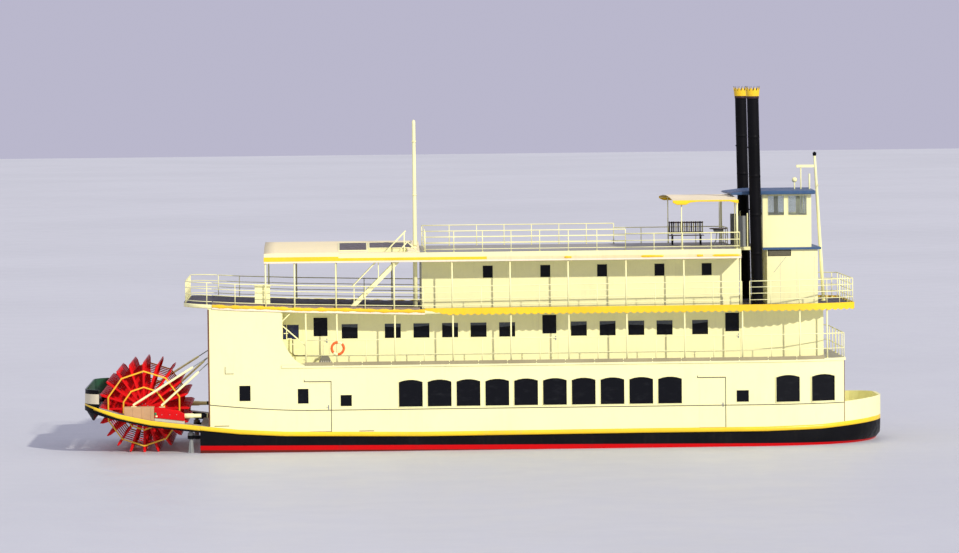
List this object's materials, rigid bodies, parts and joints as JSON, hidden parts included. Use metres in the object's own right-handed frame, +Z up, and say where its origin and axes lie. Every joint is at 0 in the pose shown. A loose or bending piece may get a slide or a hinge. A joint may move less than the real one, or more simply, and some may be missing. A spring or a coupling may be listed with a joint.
{
  "type": "sternwheel paddle steamer",
  "caption": "Sternwheel excursion steamer: low hull, long cream deckhouses, open paddle wheel aft, tall paired funnels and a pilothouse forward; wheel, drive legs and doors move.",
  "frame": {"origin": "on the waterline, amidships, on the centreline", "axes": "+X towards the bow, +Y to port, +Z up"},
  "size_m": [36.18, 9, 17.5106],
  "materials": {
    "hull_black": "satin black paint over a red boot top, streaked",
    "deck_grey": "matt grip paint",
    "white_paint": "satin cream white enamel",
    "trim_yellow": "satin yellow enamel, chipped on edges",
    "window_glass": "dark tinted panes",
    "funnel_black": "black heat paint",
    "wheel_red": "red enamel, worn at the edges",
    "drive_tan": "weathered tan covers",
    "leg_grey": "grey marine enamel",
    "propeller_bronze": "dull cast bronze",
    "engine_grey": "engine enamel",
    "roof_blue": "satin blue enamel",
    "canopy_cloth": "coated canvas",
    "bench_wood": "oiled slats"
  },
  "bodies": {
    "ship": {"hull": "hull_black", "main_deck": "deck_grey", "fantail": "hull_black", "main_wall_starboard": "white_paint", "main_wall_port": "white_paint", "aft_bulkhead": "white_paint", "fore_bulkhead": "white_paint", "main_glass_starboard": "window_glass", "main_glass_port": "window_glass", "bow_bulwark": "white_paint", "bow_bitts": "hull_black", "engine_block": "engine_grey", "deck_2": "deck_grey", "upper_wall_starboard": "white_paint", "upper_wall_port": "white_paint", "upper_fore_wall": "white_paint", "deck_2_rail_starboard": "white_paint", "deck_2_rail_port": "white_paint", "deck_3": "trim_yellow", "deck_3_rail_starboard": "white_paint", "deck_3_rail_port": "white_paint", "deck_3_stern_rail": "white_paint", "deck_3_bow_rail": "white_paint", "deck_3_cabin": "white_paint", "deck_3_stair": "white_paint", "tower": "white_paint", "deck_4": "white_paint", "deck_4_rail_starboard": "white_paint", "deck_4_rail_port": "white_paint", "canopy": "canopy_cloth", "canopy_frame": "white_paint", "bench": "bench_wood", "pilothouse": "white_paint", "pilothouse_roof": "roof_blue", "funnel_starboard": "funnel_black", "funnel_port": "funnel_black", "aft_mast": "white_paint", "fore_mast": "white_paint", "wheel_drive_starboard": "drive_tan", "wheel_drive_port": "drive_tan", "wheel_brace_starboard": "white_paint", "wheel_brace_port": "white_paint"},
    "paddle_wheel": {"wheel_floats": "wheel_red", "wheel_side_starboard": "wheel_red", "wheel_side_port": "wheel_red"},
    "leg_starboard": {"drive_leg_starboard": "leg_grey"},
    "leg_port": {"drive_leg_port": "leg_grey"},
    "screw_starboard": {"propeller_starboard": "propeller_bronze"},
    "screw_port": {"propeller_port": "propeller_bronze"},
    "shell_door_aft_starboard": {"shell_door_aft_starboard": "white_paint"},
    "shell_door_aft_port": {"shell_door_aft_port": "white_paint"},
    "shell_door_fore_starboard": {"shell_door_fore_starboard": "white_paint"},
    "shell_door_fore_port": {"shell_door_fore_port": "white_paint"},
    "upper_door_aft_starboard": {"upper_door_aft_starboard": "white_paint"},
    "upper_door_aft_port": {"upper_door_aft_port": "white_paint"},
    "upper_door_mid_starboard": {"upper_door_mid_starboard": "white_paint"},
    "upper_door_mid_port": {"upper_door_mid_port": "white_paint"},
    "upper_door_fore_starboard": {"upper_door_fore_starboard": "white_paint"},
    "upper_door_fore_port": {"upper_door_fore_port": "white_paint"},
    "pilothouse_door": {"pilothouse_door": "white_paint"}
  },
  "joints": [
    {"name": "wheel_turn", "type": "hinge", "parent": "ship", "child": "paddle_wheel", "pos_m": [-15.45, 0, 1.96], "axis": [0, 1, 0], "continuous": true},
    {"name": "leg_steer_starboard", "type": "hinge", "parent": "ship", "child": "leg_starboard", "pos_m": [-13.32, -3.95, 0.3], "axis": [0, 0, 1], "range_deg": [-35, 35]},
    {"name": "leg_steer_port", "type": "hinge", "parent": "ship", "child": "leg_port", "pos_m": [-13.32, 3.95, 0.3], "axis": [0, 0, 1], "range_deg": [-35, 35]},
    {"name": "screw_turn_starboard", "type": "hinge", "parent": "leg_starboard", "child": "screw_starboard", "pos_m": [-13.66, -3.95, -0.76], "axis": [1, 0, 0], "continuous": true},
    {"name": "screw_turn_port", "type": "hinge", "parent": "leg_port", "child": "screw_port", "pos_m": [-13.66, 3.95, -0.76], "axis": [1, 0, 0], "continuous": true},
    {"name": "shell_door_aft_starboard_swing", "type": "hinge", "parent": "ship", "child": "shell_door_aft_starboard", "pos_m": [-7.982, -4.4, 2], "axis": [0, 0, -1], "range_deg": [0, 110]},
    {"name": "shell_door_aft_port_swing", "type": "hinge", "parent": "ship", "child": "shell_door_aft_port", "pos_m": [-7.982, 4.4, 2], "axis": [0, 0, 1], "range_deg": [0, 110]},
    {"name": "shell_door_fore_starboard_swing", "type": "hinge", "parent": "ship", "child": "shell_door_fore_starboard", "pos_m": [9.468, -4.4, 2], "axis": [0, 0, -1], "range_deg": [0, 110]},
    {"name": "shell_door_fore_port_swing", "type": "hinge", "parent": "ship", "child": "shell_door_fore_port", "pos_m": [9.468, 4.4, 2], "axis": [0, 0, 1], "range_deg": [0, 110]},
    {"name": "upper_door_aft_starboard_swing", "type": "hinge", "parent": "ship", "child": "upper_door_aft_starboard", "pos_m": [-7.852, -3.2, 5], "axis": [0, 0, -1], "range_deg": [0, 95]},
    {"name": "upper_door_aft_port_swing", "type": "hinge", "parent": "ship", "child": "upper_door_aft_port", "pos_m": [-7.852, 3.2, 5], "axis": [0, 0, 1], "range_deg": [0, 95]},
    {"name": "upper_door_mid_starboard_swing", "type": "hinge", "parent": "ship", "child": "upper_door_mid_starboard", "pos_m": [2.448, -3.2, 5], "axis": [0, 0, -1], "range_deg": [0, 95]},
    {"name": "upper_door_mid_port_swing", "type": "hinge", "parent": "ship", "child": "upper_door_mid_port", "pos_m": [2.448, 3.2, 5], "axis": [0, 0, 1], "range_deg": [0, 95]},
    {"name": "upper_door_fore_starboard_swing", "type": "hinge", "parent": "ship", "child": "upper_door_fore_starboard", "pos_m": [10.698, -3.2, 5], "axis": [0, 0, -1], "range_deg": [0, 95]},
    {"name": "upper_door_fore_port_swing", "type": "hinge", "parent": "ship", "child": "upper_door_fore_port", "pos_m": [10.698, 3.2, 5], "axis": [0, 0, 1], "range_deg": [0, 95]},
    {"name": "pilothouse_door_swing", "type": "hinge", "parent": "ship", "child": "pilothouse_door", "pos_m": [12.57, -0.372, 9.9], "axis": [0, 0, 1], "range_deg": [0, 95]}
  ],
  "couplings": [
    {"joint": "leg_steer_port", "follows": "leg_steer_starboard", "ratio": 1}
  ]
}
